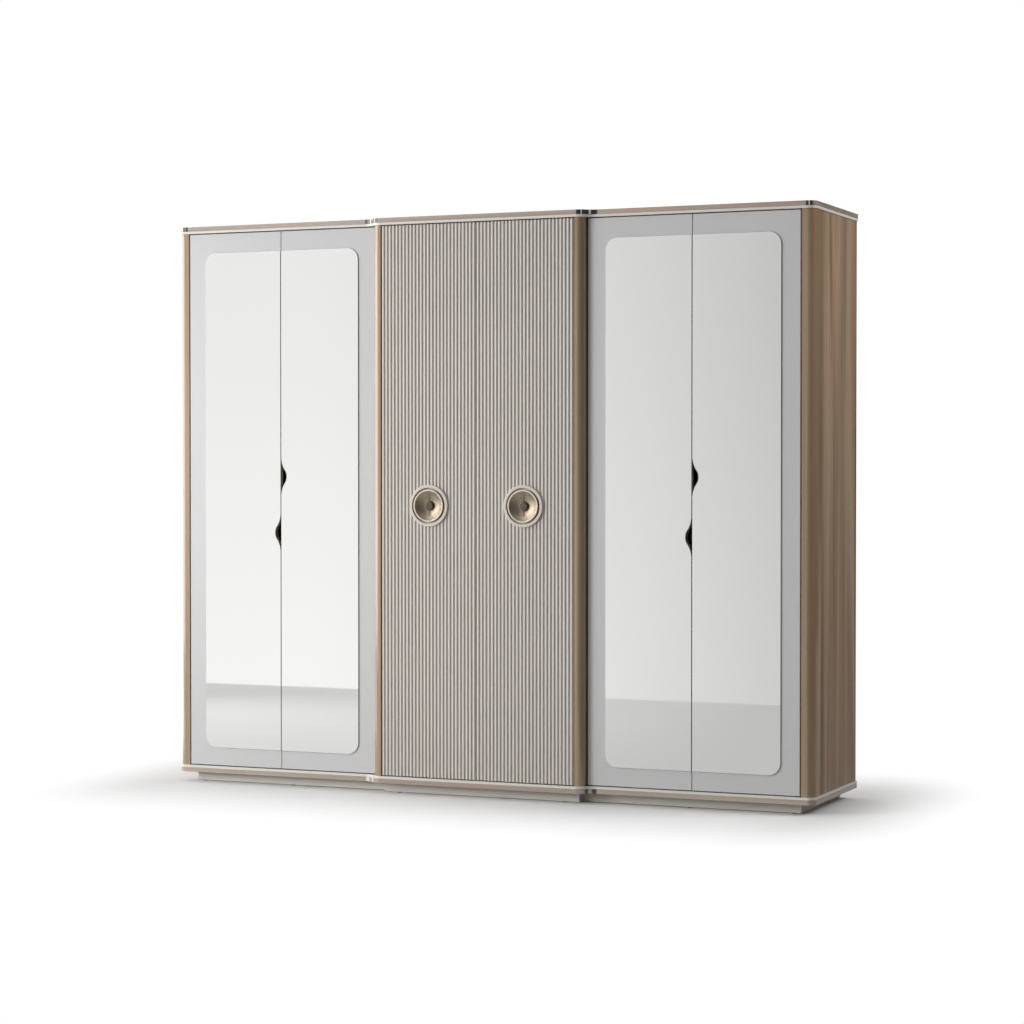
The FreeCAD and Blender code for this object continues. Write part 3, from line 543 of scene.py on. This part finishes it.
post = {"round": 28 * mm, "segments": 12, "ease": 0.6 * mm}
for node in ("corner_post_left", "corner_post_right", "centre_post_left", "centre_post_right"):
    low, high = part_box(node)
    column = blockBetween(low, high)
    outer = high.x if node.endswith("right") else low.x
    roundEdges(column, [edge for edge in along(column, "z") if near(edge, x=outer, y=low.y)],
               post["round"], post["segments"])
    easeEdges(column, post["ease"])
    finishPiece(column, node, postWood)
print("carcass boards made")


# Stepped base and cornice.

plate = {"corner": 33 * mm, "cornerSegments": 12, "stepInner": 415 * mm, "stepOuter": 493 * mm,
         "step": 34 * mm, "stepSegments": 10, "ease": 1.0 * mm}
# Painted dark reflections across the curved parts of the wood bands, with painted cream highlights between
# them, as spans of x.
stepDarkReflections = [(0.421, 0.437), (0.441, 0.463), (0.470, 0.494)]
stepHighlights = [(0.437, 0.441), (0.463, 0.470)]
# On the base the same spans are painted dark reflections on the right and painted highlights on the left.
baseReflectionMarks = [(0.452, 0.4615), (0.4755, 0.492)]
bandDarkReflections = {
    "cornice_board": {1: [*stepDarkReflections, (1.3175, 1.328), (1.3325, 1.342)],
                      -1: [*stepDarkReflections, (1.306, 1.316), (1.3205, 1.328)]},
    "base_board": {1: baseReflectionMarks},
}
bandHighlights = {
    "cornice_board": {side: [*stepHighlights, (1.328, 1.3325)] for side in (1, -1)},
    "base_board": {-1: baseReflectionMarks},
}


def markSpans(slab, spans, index, front):
    # Splits the band at each span's ends and gives the faces between them another finish.
    for side, ranges in spans.items():
        for span in ranges:
            for x in span:
                cutAt(slab, (side * x, 0, 0), (1, 0, 0))
            for face in slab.faces:
                centre = face.calc_center_median()
                onEdge = abs(face.normal.z) < fine["facing"]
                if span[0] < side * centre.x < span[1] and centre.y < front and onEdge:
                    face.material_index = index


for node in ("base_board", "base_trim", "cornice_trim", "cornice_board"):
    low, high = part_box(node)
    nose, front = low.y, low.y + plate["step"]
    turn = 2 * math.atan2(plate["step"], plate["stepOuter"] - plate["stepInner"])
    swell = plate["step"] / (2 * (1 - math.cos(turn)))
    reach = swell * math.tan(turn / 2)
    right = [(high.x, high.y), (high.x, front), (plate["stepOuter"] - reach, front),
             (plate["stepInner"] + reach, nose)]
    outline = right + [(-x, y) for x, y in reversed(right)]
    slab = outlinePrism([(x, y, low.z) for x, y in outline], (0, 0, high.z - low.z))
    ends = [edge for edge in along(slab, "z")
            if near(edge, y=front) and abs(edge.verts[0].co.x) > high.x - mm]
    roundEdges(slab, ends, plate["corner"], plate["cornerSegments"])
    stepEdges = [edge for edge in along(slab, "z") if near(edge, y=nose)
                 or near(edge, y=front) and abs(edge.verts[0].co.x) < plate["stepOuter"]]
    roundEdges(slab, stepEdges, reach, plate["stepSegments"])
    easeEdges(slab, plate["ease"])
    # Painted dark reflections take the second finish, painted highlights the cream one.
    markSpans(slab, bandDarkReflections.get(node, {}), 1, front + plate["corner"])
    markSpans(slab, bandHighlights.get(node, {}), 2, front + plate["corner"])
    marked = [finishes[slotOf[node]], inlayGloss, finishes["pale_lacquer"]] if node in bandDarkReflections else []
    finishPiece(slab, node, *marked)
print("base and cornice made")


# Mirrored doors with their finger pulls.

pull = {"half": 76.5 * mm, "depth": 25.5 * mm, "bay": 44 * mm, "wall": 2 * mm, "trim": 1 * mm, "segments": 12}
pull["turn"] = 2 * math.atan2(pull["depth"], pull["half"])
pull["flare"] = (pull["half"] ** 2 + pull["depth"] ** 2) / (2 * pull["depth"]) - pull["bay"]
pull["flareOffset"] = pull["flare"] * math.tan(pull["turn"] / 2)
pull["bayOffset"] = pull["bay"] * math.tan(pull["turn"])
pull["notch"] = pull["half"] - pull["flareOffset"]
pull["apex"] = pull["notch"] * math.tan(pull["turn"])
leaf = {"edgeRound": 3 * mm, "edgeSegments": 4, "ease": 0.8 * mm}
glass = {"corner": 48 * mm, "cornerSegments": 12, "ease": 0.7 * mm}
# Which side of each leaf is its meeting edge.
mirroredDoors = {"left_outer": 1, "left_inner": -1, "right_inner": 1, "right_outer": -1}


def bellCurve(edgeX, inward, centreZ):
    # Corners of the finger pull's bell curve, from its lower shoulder to its upper one.
    return [(edgeX, centreZ - pull["notch"]), (edgeX + inward * pull["apex"], centreZ),
            (edgeX, centreZ + pull["notch"])]


def roundBell(bm, edgeX, inward, centreZ):
    # Turns the notch's three corners into two flares and a round bay.
    for x, levels, offset in ((edgeX, (-1, 1), pull["flareOffset"]),
                              (edgeX + inward * pull["apex"], (0,), pull["bayOffset"])):
        for level in levels:
            edges = [edge for edge in along(bm, "y") if near(edge, x=x, z=centreZ + level * pull["notch"])]
            roundEdges(bm, edges, offset, pull["segments"])


def notchedPanel(low, high, meeting, centreZ):
    # A panel in the XZ plane with the bell notch in its meeting edge.
    edgeX, farX = (high.x, low.x) if meeting > 0 else (low.x, high.x)
    points = [(edgeX, low.z), *bellCurve(edgeX, -meeting, centreZ), (edgeX, high.z), (farX, high.z),
              (farX, low.z)]
    bm = outlinePrism([(x, low.y, z) for x, z in points], (0, high.y - low.y, 0))
    roundBell(bm, edgeX, -meeting, centreZ)
    return bm, edgeX, farX


for door, meeting in mirroredDoors.items():
    pullLow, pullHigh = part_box(f"pull_{door}")
    centreZ = (pullLow.z + pullHigh.z) / 2
    low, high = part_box(f"leaf_{door}")
    panel, edgeX, farX = notchedPanel(low, high, meeting, centreZ)
    roundEdges(panel, [edge for edge in along(panel, "z") if near(edge, x=farX, y=low.y)],
               leaf["edgeRound"], leaf["edgeSegments"])
    easeEdges(panel, leaf["ease"])
    finishPiece(panel, f"leaf_{door}")

    low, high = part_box(f"mirror_{door}")
    pane, edgeX, farX = notchedPanel(low, high, meeting, centreZ)
    roundEdges(pane, [edge for edge in along(pane, "y") if near(edge, x=farX)], glass["corner"],
               glass["cornerSegments"])
    easeEdges(pane, glass["ease"])
    for face in pane.faces:
        face.material_index = 0 if abs(face.normal.y) > fine["flat"] else 1
    finishPiece(pane, f"mirror_{door}", silvered, glassEdge)

    liner = bmesh.new()
    curve = bellCurve(edgeX, -meeting, centreZ)
    ends = [(edgeX, centreZ - pull["half"] - pull["wall"]), (edgeX, centreZ + pull["half"] + pull["wall"])]
    wire = [liner.verts.new((x, pullLow.y, z)) for x, z in [ends[0], *curve, ends[1]]]
    for first, second in zip(wire, wire[1:]):
        liner.edges.new((first, second))
    pushed = bmesh.ops.extrude_edge_only(liner, edges=liner.edges[:])["geom"]
    movePushed(liner, pushed, (0, pullHigh.y - pullLow.y, 0))
    roundBell(liner, edgeX, -meeting, centreZ)
    for face in liner.faces:
        if face.normal.x * meeting < 0:
            face.normal_flip()
    bmesh.ops.solidify(liner, geom=liner.faces[:], thickness=-pull["wall"])
    bmesh.ops.recalc_face_normals(liner, faces=liner.faces)
    cutAt(liner, (edgeX - meeting * pull["trim"], 0, 0), (meeting, 0, 0), clear_outer=True)
    bmesh.ops.holes_fill(liner, edges=liner.edges)
    finishPiece(liner, f"pull_{door}")
print("mirrored doors made")


# Reeded doors.

reeds = {"count": 27, "width": 9.5 * mm, "height": 4 * mm, "round": 3.9 * mm, "segments": 5,
         "widthSlack": 0.2 * mm, "levelSlack": 0.1 * mm, "seat": 82 * mm, "recess": 57 * mm, "clear": 10 * mm}


def turnedPiece(outline, x, z):
    # A closed outline of (radius, y, rounding) turned about the axis along Y through x, z.
    bm = bmesh.new()
    corners = [bm.verts.new((x + radius, y, z)) for radius, y, rounding in outline]
    for first, second in zip(corners, corners[1:] + corners[:1]):
        bm.edges.new((first, second))
    for (radius, y, rounding), corner in zip(outline, corners):
        if rounding:
            bmesh.ops.bevel(bm, geom=[corner], offset=rounding, offset_type="OFFSET", profile=0.5,
                            segments=turnery["roundSegments"], affect="VERTICES", material=-1)
    bmesh.ops.spin(bm, geom=bm.verts[:] + bm.edges[:], cent=(x, 0, z), axis=(0, 1, 0), angle=2 * math.pi,
                   steps=turnery["steps"], use_merge=True)
    bmesh.ops.remove_doubles(bm, verts=bm.verts, dist=fine["axisMerge"])
    bmesh.ops.delete(bm, geom=[edge for edge in bm.edges if not edge.link_faces], context="EDGES")
    return bm


def cutWith(piece, cutter):
    # Takes the cutter's shape out of the piece for good.
    mesh = bpy.data.meshes.new("cutter")
    cutter.to_mesh(mesh)
    cutter.free()
    tool = bpy.data.objects.new("cutter", mesh)
    bpy.context.scene.collection.objects.link(tool)
    change = piece.modifiers.new("seat", "BOOLEAN")
    change.operation = "DIFFERENCE"
    change.solver = "EXACT"
    change.object = tool
    bpy.context.view_layer.update()
    final = bpy.data.meshes.new_from_object(piece.evaluated_get(bpy.context.evaluated_depsgraph_get()))
    piece.modifiers.remove(change)
    final.name = piece.data.name
    piece.data = final
    bpy.data.objects.remove(tool)
    smoothMesh(final)


for word, side in (("left", -1), ("right", 1)):
    low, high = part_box(f"leaf_centre_{word}")
    core = blockBetween(Vector((low.x, low.y + reeds["height"], low.z)), high)
    pitch = (high.x - low.x) / reeds["count"]
    for number in range(reeds["count"]):
        for edge in (-1, 1):
            cut = low.x + (number + 0.5) * pitch + edge * reeds["width"] / 2
            cutAt(core, (cut, 0, 0), (1, 0, 0))
    front = [face for face in core.faces if face.normal.y < -fine["facing"]]
    ribs = [face for face in front
            if abs(face.calc_area() / (high.z - low.z) - reeds["width"]) < reeds["widthSlack"]]
    for face in ribs:
        raised = bmesh.ops.extrude_face_region(core, geom=[face])["geom"]
        movePushed(core, raised, (0, -reeds["height"], 0))
    bmesh.ops.delete(core, geom=[face for face in ribs if face.is_valid], context="FACES_ONLY")
    bmesh.ops.remove_doubles(core, verts=core.verts, dist=fine["merge"])
    bmesh.ops.recalc_face_normals(core, faces=core.faces)
    crests = [edge for edge in along(core, "z") if near(edge, y=low.y)]
    roundEdges(core, crests, reeds["round"], reeds["segments"])
    core.normal_update()
    # Groove floors and rib flanks take the darker greige, painted shade between the ribs.
    for face in core.faces:
        centre = face.calc_center_median()
        level = abs(centre.y - low.y - reeds["height"])
        inGroove = face.normal.y < -fine["facing"] and level < reeds["levelSlack"]
        onFlank = abs(face.normal.x) > fine["facing"] and low.x + mm < centre.x < high.x - mm
        face.material_index = 1 if inGroove or onFlank else 0
    panel = finishPiece(core, f"leaf_centre_{word}", finishes["reeded_lacquer"], grooveShadeLacquer)
    x = side * handleX
    clear, coreFront = low.y - reeds["clear"], low.y + reeds["height"]
    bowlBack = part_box(f"dish_centre_{word}")[1].y
    seat = turnedPiece([(0, clear, 0), (reeds["seat"], clear, 0), (reeds["seat"], coreFront, 0),
                        (reeds["recess"], coreFront, 0), (reeds["recess"], bowlBack, 0), (0, bowlBack, 0)],
                       x, handleZ)
    bmesh.ops.recalc_face_normals(seat, faces=seat.faces)
    cutWith(panel, seat)
print("reeded doors made")


# Round handles.

handle = {"ringInner": 70 * mm, "rimOuter": 63.5 * mm, "rimInner": 57 * mm, "bowl": 15 * mm, "wall": 2 * mm,
          "arcSteps": 9, "flatShare": 0.8, "lip": 1.2 * mm, "rimEase": 0.8 * mm, "rimDepth": 0.9 * mm,
          "ease": 1 * mm, "shoulder": 0.75, "ringOuterRound": 3 * mm, "ringInnerRound": 2 * mm,
          "knob": 18 * mm, "knobRound": 3 * mm, "knobSide": 4 * mm, "knobEase": 1.5 * mm, "footShare": 0.6}
for word, side in (("left", -1), ("right", 1)):
    x = side * handleX
    low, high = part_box(f"ring_centre_{word}")
    outer = (high.x - low.x) / 2
    inner = handle["ringInner"]
    seat = high.y
    ring = turnedPiece([(inner, high.y, 0), (outer, high.y, 0), (outer, low.y, handle["ringOuterRound"]),
                        (inner, low.y, handle["ringInnerRound"])], x, handleZ)
    finishPiece(ring, f"ring_centre_{word}", ringLacquer)

    low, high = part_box(f"dish_centre_{word}")
    rimFront = low.y
    bottom = rimFront + handle["bowl"]
    flat, edge = handle["knob"] * handle["flatShare"], handle["rimInner"]
    curve = []
    for step in range(handle["arcSteps"] + 1):
        part = step / handle["arcSteps"]
        curve.append((flat + (edge - flat) * part, bottom - (handle["bowl"] - handle["lip"]) * part ** 2, 0))
    rim, ease, back = handle["rimOuter"], handle["rimEase"], bottom + handle["wall"]
    outline = [(0, bottom, 0), *curve, (edge + ease, rimFront, ease), (rim, rimFront, handle["ease"]),
               (rim, seat, 0), (edge, seat, 0), (edge * handle["shoulder"], back, 0), (0, back, 0)]
    dish = turnedPiece(outline, x, handleZ)
    # The rim's flat front takes the paler bronze as a painted highlight.
    for face in dish.faces:
        centre = face.calc_center_median()
        radius = math.hypot(centre.x - x, centre.z - handleZ)
        onRim = centre.y < rimFront + handle["rimDepth"] and radius > edge
        face.material_index = 1 if onRim else 0
    finishPiece(dish, f"dish_centre_{word}", handleBronze[side], rimBronze[side])

    low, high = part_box(f"knob_centre_{word}")
    knob = turnedPiece([(0, low.y, 0), (handle["knob"], low.y, handle["knobRound"]),
                        (handle["knob"], low.y + handle["knobSide"], handle["knobEase"]),
                        (handle["knob"] * handle["footShare"], high.y, 0), (0, high.y, 0)], x, handleZ)
    finishPiece(knob, f"knob_centre_{word}", knobBronze[side])
print("handles made")


# The small fittings stay as they are and get their finishes.

for node, piece in frame["nodes"].items():
    if not piece.hide_render:
        piece.data.materials.clear()
        piece.data.materials.append(finishes[slotOf[node]])


# Floor, light and camera.

studio = {"floorFront": -4.4, "floorBack": 9.0, "floorHalf": 9.0, "roughness": 0.7,
          "fadeFrom": (1.3, 0.28, 0.0), "fadeScale": (1.0, 0.6, 0.0), "fade": (0.0, 0.55),
          "seenTone": (0.86, 0.86, 0.855, 1), "bounceTone": (0.4, 0.4, 0.39, 1), "mirroredGlow": 0.7,
          "glowLeft": (-1.5, 0.7), "glowRight": (0.6, 0.5), "dimRight": (1.25, 1.6, 0.1),
          "farLeft": (-2.0, -3.4, 2.5), "farLeftDepth": (-1.6, -0.9)}


def studioFloor():
    bm = bmesh.new()
    bmesh.ops.create_grid(bm, x_segments=4, y_segments=4, size=1)
    front, back = studio["floorFront"], studio["floorBack"]
    bmesh.ops.scale(bm, verts=bm.verts, vec=(studio["floorHalf"], (back - front) / 2, 1))
    bmesh.ops.translate(bm, verts=bm.verts, vec=(0, (back + front) / 2, 0))
    mesh = bpy.data.meshes.new("studioFloor")
    bm.to_mesh(mesh)
    bm.free()
    floor = bpy.data.objects.new("studioFloor", mesh)
    bpy.context.scene.collection.objects.link(floor)
    material, tree, surface, place = newFinish("studioFloor")
    output = next(item for item in tree.nodes if item.type == "OUTPUT_MATERIAL")
    surface.inputs["Roughness"].default_value = studio["roughness"]
    rays = addNode(tree, "ShaderNodeLightPath").outputs
    tone = mixColor(tree, rays["Is Diffuse Ray"], studio["seenTone"], studio["bounceTone"])
    tree.links.new(tone, surface.inputs["Base Color"])
    outward = addNode(tree, "ShaderNodeVectorMath", {0: place}, operation="ABSOLUTE").outputs["Vector"]
    for operation, vector in (("SUBTRACT", studio["fadeFrom"]), ("MAXIMUM", (0.0, 0.0, 0.0))):
        outward = addNode(tree, "ShaderNodeVectorMath", {0: outward, 1: vector},
                          operation=operation).outputs["Vector"]
    distance = lengthOf(tree, stretched(tree, outward, studio["fadeScale"]))
    fade = remap(tree, distance, *studio["fade"], 0.0, 1.0)
    mask = sums(tree, "ADD", sums(tree, "MULTIPLY", fade, rays["Is Camera Ray"]),
                sums(tree, "MULTIPLY", rays["Is Glossy Ray"], studio["mirroredGlow"]))
    # What mirrors and coats see of the floor: softly brighter to the left, dark to the right.
    parts = addNode(tree, "ShaderNodeSeparateXYZ", {0: place}).outputs
    (leftX, leftGlow), (rightX, rightGlow) = studio["glowLeft"], studio["glowRight"]
    dimFrom, dimTo, dimmed = studio["dimRight"]
    farFrom, farTo, farGlow = studio["farLeft"]
    glow = sums(tree, "MULTIPLY", remap(tree, parts["X"], leftX, rightX, leftGlow, rightGlow),
                remap(tree, parts["X"], dimFrom, dimTo, 1.0, dimmed))
    farLeft = sums(tree, "MULTIPLY", remap(tree, parts["X"], farFrom, farTo, 0.0, farGlow),
                   remap(tree, parts["Y"], *studio["farLeftDepth"], 0.0, 1.0))
    glow = sums(tree, "ADD", glow, farLeft)
    strength = remap(tree, rays["Is Camera Ray"], 0.0, 1.0, glow, 1.0, False)
    white = addNode(tree, "ShaderNodeEmission", {"Color": (1, 1, 1, 1), "Strength": strength})
    mixed = addNode(tree, "ShaderNodeMixShader", {0: mask, 1: surface.outputs[0], 2: white.outputs[0]})
    tree.links.new(mixed.outputs[0], output.inputs["Surface"])
    mesh.materials.append(material)


# Brightness by direction: stops go from -X to +X as (place, level); the other ranges end in their levels.
room = {
    "stops": [(0.0, 1.4), (0.06, 2.5), (0.15, 2.2), (0.2, 1.3), (0.24, 0.93), (0.268, 0.93), (0.322, 0.76),
              (0.343, 0.66), (0.41, 0.3), (0.55, 0.16), (1.0, 0.2)], "topLevel": 3,
    "rearY": (-0.1, 0.5), "rearX": (-0.5, 0.0), "rearDim": 0.65,
    "level": (-0.12, 0.12), "lowLevel": 3.2, "highLevel": 2.82, "above": (0.4, 0.9), "aboveGlow": 0.55,
    "lampFrom": (-0.67, -0.65, 0.365), "lampCone": (0.972, 0.985), "lampGlow": 3.2,
    "stripX": (-0.7, -0.85), "stripGlow": 1.6, "stripZ": (0.3, 0.5), "stripY": (-0.2, 0.3),
    "stripBehind": 0.2, "softer": 0.5,
}


def studioWorld():
    # White behind the object; for light and reflections a room that is brighter towards -X.
    world = bpy.data.worlds.new("studio")
    bpy.context.scene.world = world
    world.use_nodes = True
    tree = world.node_tree
    tree.nodes.clear()
    direction = addNode(tree, "ShaderNodeTexCoord").outputs["Generated"]
    parts = addNode(tree, "ShaderNodeSeparateXYZ", {0: direction}).outputs
    ramp = addNode(tree, "ShaderNodeValToRGB", {0: remap(tree, parts["X"], -1.0, 1.0, 0.0, 1.0, False)})
    elements = ramp.color_ramp.elements
    while len(elements) < len(room["stops"]):
        elements.new(0.5)
    for element, (position, level) in zip(elements, room["stops"]):
        element.position = position
        element.color = (*[level / room["topLevel"]] * 3, 1)
    rearRight = sums(tree, "MULTIPLY", remap(tree, parts["Y"], *room["rearY"], 0.0, room["rearDim"]),
                     remap(tree, parts["X"], *room["rearX"], 0.0, 1.0))
    behind = sums(tree, "SUBTRACT", 1.0, rearRight)
    behind = sums(tree, "MULTIPLY", behind,
                  remap(tree, parts["Z"], *room["level"], room["lowLevel"], room["highLevel"]))
    above = remap(tree, parts["Z"], *room["above"], 0.0, room["aboveGlow"])
    lit = mixColor(tree, 1.0, ramp.outputs[0], behind, "MULTIPLY")
    lit = mixColor(tree, 1.0, lit, above, "ADD")
    lamp = Vector(room["lampFrom"]).normalized()
    facing = addNode(tree, "ShaderNodeVectorMath", {0: direction, 1: lamp},
                     operation="DOT_PRODUCT").outputs["Value"]
    lit = mixColor(tree, 1.0, lit, remap(tree, facing, *room["lampCone"], 0.0, room["lampGlow"]), "ADD")
    rays = addNode(tree, "ShaderNodeLightPath").outputs
    strip = sums(tree, "MULTIPLY", remap(tree, parts["X"], *room["stripX"], 0.0, room["stripGlow"]),
                 remap(tree, parts["Z"], *room["stripZ"], 1.0, 0.0))
    strip = sums(tree, "MULTIPLY", strip, remap(tree, parts["Y"], *room["stripY"], 1.0, room["stripBehind"]))
    lit = mixColor(tree, 1.0, lit, sums(tree, "MULTIPLY", strip, rays["Is Glossy Ray"]), "ADD")
    strength = remap(tree, rays["Is Diffuse Ray"], 0.0, 1.0, 1.0, room["softer"], False)
    shown = addNode(tree, "ShaderNodeBackground", {"Color": lit, "Strength": strength})
    plain = addNode(tree, "ShaderNodeBackground", {"Color": (1, 1, 1, 1), "Strength": 1.0})
    mixed = addNode(tree, "ShaderNodeMixShader",
                    {0: rays["Is Camera Ray"], 1: shown.outputs[0], 2: plain.outputs[0]})
    addNode(tree, "ShaderNodeOutputWorld", {"Surface": mixed.outputs[0]})


lamps = {
    "keyLight": {"place": (-3.7, -3.6, 1.5), "target": (0, 0, 1.2), "size": 2.2, "power": 65, "spread": 115},
    "sideFill": {"place": (4.3, 0.7, 3), "target": (1.35, 0, 1.7), "size": 2.0, "power": 33, "spread": 115},
}


def softLight(name, settings):
    light = bpy.data.lights.new(name, "AREA")
    light.shape = "DISK"
    light.size = settings["size"]
    light.energy = settings["power"]
    light.spread = math.radians(settings["spread"])
    lamp = bpy.data.objects.new(name, light)
    bpy.context.scene.collection.objects.link(lamp)
    lamp.location = settings["place"]
    aim = Vector(settings["target"]) - Vector(settings["place"])
    lamp.rotation_euler = aim.to_track_quat("-Z", "Y").to_euler()
    lamp.visible_glossy = False
    lamp.visible_camera = False


studioFloor()
studioWorld()
for name, settings in lamps.items():
    softLight(name, settings)
print("studio set")

view = {"place": (4.0236, -9.2235, 1.2853), "tilt": -0.01741, "turn": 0.40919, "lens": 88.67, "sensor": 36.0,
        "farthest": 100}
lens = bpy.data.cameras.new("viewCamera")
lens.lens = view["lens"]
lens.sensor_width = view["sensor"]
lens.clip_end = view["farthest"]
viewer = bpy.data.objects.new("viewCamera", lens)
bpy.context.scene.collection.objects.link(viewer)
viewer.location = view["place"]
viewer.rotation_euler = (math.pi / 2 + view["tilt"], 0, view["turn"])
bpy.context.scene.camera = viewer
bpy.context.scene.view_settings.view_transform = "Standard"

bpy.context.view_layer.update()
